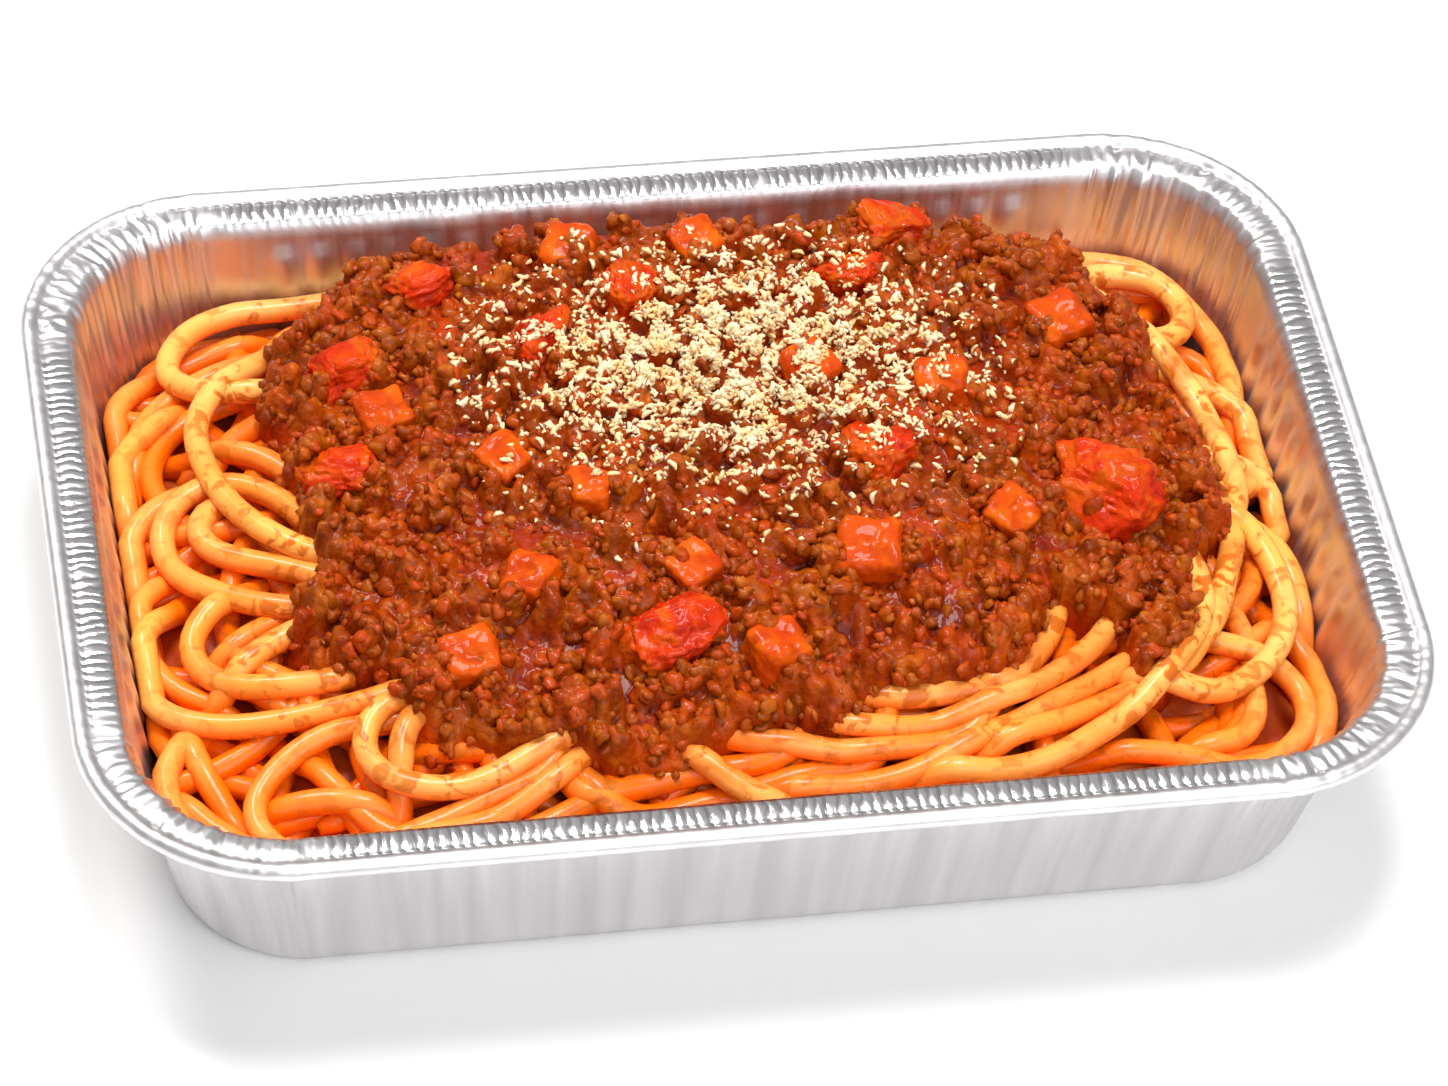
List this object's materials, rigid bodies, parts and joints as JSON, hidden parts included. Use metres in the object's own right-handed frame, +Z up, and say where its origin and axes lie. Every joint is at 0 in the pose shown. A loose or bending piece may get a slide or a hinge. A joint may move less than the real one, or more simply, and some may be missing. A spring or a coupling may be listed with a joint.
{
  "type": "foil tray meal",
  "caption": "Oblong foil tray with a rolled rim, filled with spaghetti and topped with meat sauce, carrot dice, tomato pieces and grated cheese.",
  "frame": {"origin": "middle of the tray's flat base, on the surface it stands on", "axes": "+X along the tray's long side, towards the right in the picture; +Y towards the back; +Z up"},
  "size_m": [0.214, 0.15, 0.0508],
  "materials": {
    "foil": "bright wrinkled foil",
    "pasta": null,
    "sauce": null,
    "tomato": null,
    "carrot": null
  },
  "bodies": {
    "root": {"tray": "foil", "spaghetti": "pasta", "meat_sauce": "sauce", "tomato_left_back": "tomato", "tomato_left": "tomato", "tomato_back_left": "tomato", "tomato_mid_left": "tomato", "tomato_mid_back": "tomato", "tomato_back_mid": "tomato", "tomato_back_right": "tomato", "tomato_mid_right": "tomato", "tomato_right": "tomato", "tomato_front": "tomato", "carrot_left": "carrot", "carrot_mid_left": "carrot", "carrot_mid": "carrot", "carrot_front_mid": "carrot", "carrot_front": "carrot", "carrot_front_right": "carrot", "carrot_right": "carrot", "carrot_front_left": "carrot", "carrot_low_left": "carrot", "carrot_centre": "carrot", "carrot_mid_right": "carrot", "carrot_back_right": "carrot", "carrot_back_left": "carrot", "carrot_back": "carrot"}
  },
  "joints": []
}
